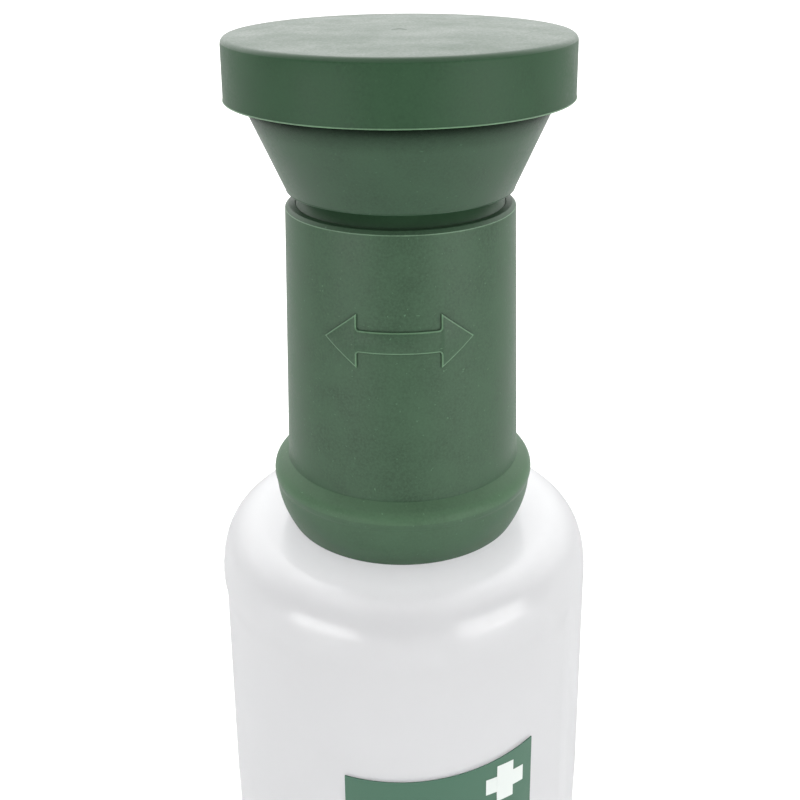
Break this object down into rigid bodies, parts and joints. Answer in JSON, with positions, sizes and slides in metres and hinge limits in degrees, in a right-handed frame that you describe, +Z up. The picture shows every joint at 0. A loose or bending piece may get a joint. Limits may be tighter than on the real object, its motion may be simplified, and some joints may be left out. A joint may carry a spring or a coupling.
{
  "type": "eye wash bottle",
  "caption": "Squeeze bottle of rinsing liquid with a turning sleeve that opens the neck, a funnel-shaped eye cup with a spray disc, and a lift-off dust cap.",
  "frame": {"origin": "centre of the bottle's foot, on the surface that it stands on", "axes": "+Z up along the bottle's axis; -Y towards the front with the arrow and the label; +X to the right seen from the front"},
  "size_m": [0.074, 0.074, 0.2404],
  "materials": {
    "milky_bottle": "milky, translucent, soft gloss",
    "saline": "clear liquid",
    "label_green": "printed film, satin",
    "insert_white": "natural white, satin",
    "plug_white": "natural white, satin",
    "gasket_grey": "soft, matt",
    "coupling_green": "dark green, matt",
    "tube_white": "natural white, satin",
    "ring_black": "soft, matt",
    "sleeve_green": "dark green, finely grained",
    "cup_green": "dark green, finely grained",
    "rose_white": "natural white, satin",
    "liner_white": "foam, matt",
    "cap_green": "dark green, satin"
  },
  "bodies": {
    "bottle": {"bottle_body": "milky_bottle", "saline_fill": "saline", "label_panel": "label_green", "neck_insert": "insert_white", "neck_gasket": "gasket_grey"},
    "head": {"turning_sleeve": "sleeve_green", "neck_coupling": "coupling_green", "feed_tube": "tube_white", "tube_ring": "ring_black", "eye_cup": "cup_green", "spray_rose": "rose_white", "break_plug": "plug_white"},
    "cap": {"dust_cap": "cap_green", "cap_liner": "liner_white"}
  },
  "joints": [
    {"name": "sleeve_turn", "type": "hinge", "parent": "bottle", "child": "head", "pos_m": [0, 0, 0.1721], "axis": [0, 0, 1], "continuous": true},
    {"name": "cap_lift", "type": "slide", "parent": "head", "child": "cap", "axis": [0, 0, 1], "range_m": [0, 0.03]}
  ]
}
